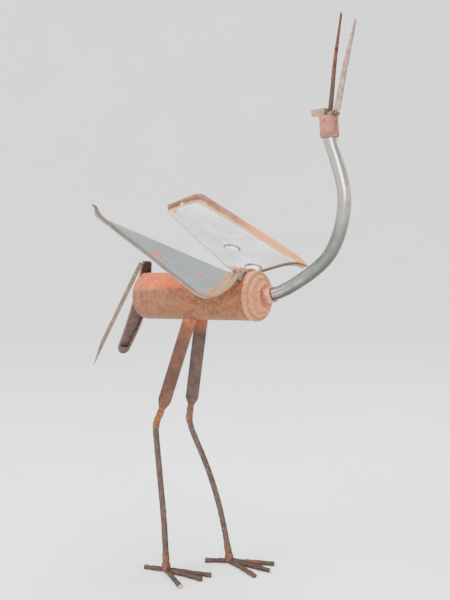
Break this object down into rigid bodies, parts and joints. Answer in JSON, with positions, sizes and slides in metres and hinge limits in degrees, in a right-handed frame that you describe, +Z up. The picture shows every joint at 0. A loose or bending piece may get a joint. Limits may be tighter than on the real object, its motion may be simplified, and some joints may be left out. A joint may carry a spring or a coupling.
{
  "type": "metal bird sculpture",
  "caption": "Standing abstract bird welded from scrap steel: cylinder body, bent tube neck, split beak, pan-sheet wings, file thighs and rod legs.",
  "frame": {"origin": "middle of the object's box on the ground plane, under the toes", "axes": "+Z up; the bird faces +X; +Y is the bird's left"},
  "size_m": [0.5374, 0.3584, 1.0061],
  "materials": {
    "body": "orange and brown rust, finely pitted",
    "boss": "pinkish rust",
    "neck": "bare drawn tube, shiny with brown specks",
    "sleeve": "pinkish rust",
    "crest": "brown weathered steel",
    "beak_rust": "orange-brown rust",
    "beak_tan": "pale tan rubbed steel",
    "wing": "weathered pale grey sheet with a rusty rim",
    "tail": "brown weathered channel",
    "thigh": "dark brown file steel with orange rust",
    "shin": "brown weathered round bar",
    "toe": "brown weathered round bar"
  },
  "bodies": {
    "root": {"body": "body", "neck_boss": "boss", "neck": "neck", "head_sleeve": "sleeve", "crest": "crest", "beak_back": "beak_rust", "beak_front": "beak_tan", "wing_right": "wing", "wing_left": "wing", "tail_right": "tail", "tail_left": "tail", "thigh_right": "thigh", "thigh_left": "thigh", "shin_right": "shin", "shin_left": "shin", "right_toe_inner": "toe", "right_toe_middle": "toe", "right_toe_outer": "toe", "right_toe_back": "toe", "left_toe_inner": "toe", "left_toe_middle": "toe", "left_toe_outer": "toe", "left_toe_back": "toe"}
  },
  "joints": []
}
